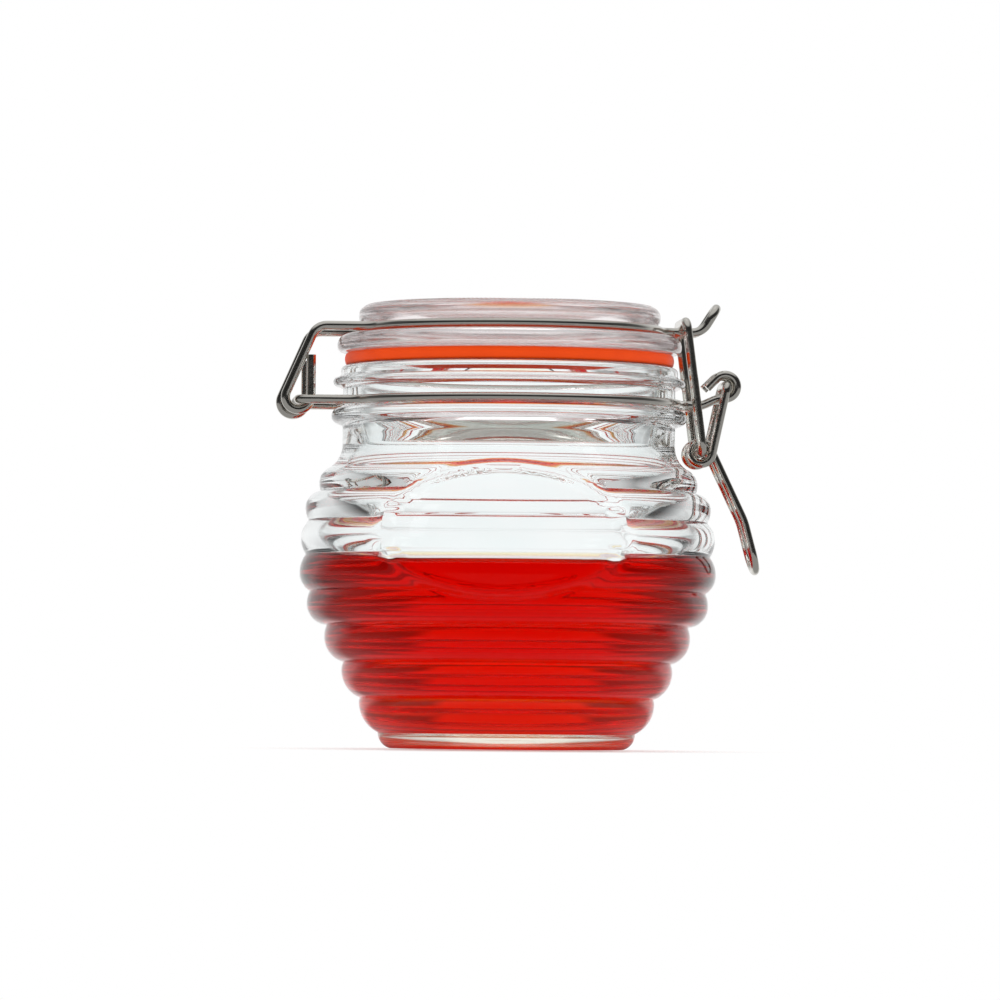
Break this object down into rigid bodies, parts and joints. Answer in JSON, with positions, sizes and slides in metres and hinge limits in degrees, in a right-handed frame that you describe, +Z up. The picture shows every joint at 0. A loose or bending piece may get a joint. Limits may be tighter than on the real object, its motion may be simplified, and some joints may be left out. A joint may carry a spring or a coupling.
{
  "type": "swing top honey pot",
  "caption": "Beehive-ringed clear glass pot of honey, closed by a glass lid with an orange rubber seal and a spring-wire swing clasp.",
  "frame": {"origin": "centre of the jar's foot, on the plane it stands on, on the jar's axis", "axes": "+Z up the jar's axis, +X towards the latch with the hinge at -X, and the oval plaque faces about -Y"},
  "size_m": [0.1225, 0.1061, 0.1134],
  "materials": {
    "glass": "clear pressed soda-lime glass, fire polished",
    "honey": "clear deep red-amber honey",
    "seal": "smooth orange sealing rubber",
    "wire": "bright drawn steel spring wire"
  },
  "bodies": {
    "jar": {"jar_glass": "glass", "honey": "honey", "neck_wire": "wire"},
    "lid": {"lid_glass": "glass", "seal": "seal", "lid_wire": "wire"},
    "lever": {"latch_lever": "wire"},
    "link": {"latch_link": "wire"}
  },
  "joints": [
    {"name": "lid_hinge", "type": "hinge", "parent": "jar", "child": "lid", "pos_m": [-0.05415, 0, 0.08725], "axis": [0, -1, 0], "range_deg": [0, 105]},
    {"name": "lever_pivot", "type": "hinge", "parent": "jar", "child": "lever", "pos_m": [0.05482, 0, 0.09254], "axis": [0, -1, 0], "range_deg": [0, 75], "deforming": ["latch_link"]},
    {"name": "link_pivot", "type": "hinge", "parent": "lever", "child": "link", "pos_m": [0.04835, 0, 0.07525], "axis": [0, -1, 0], "range_deg": [-150, 0]}
  ],
  "couplings": [
    {"joint": "link_pivot", "follows": "lever_pivot", "ratio": -2}
  ]
}
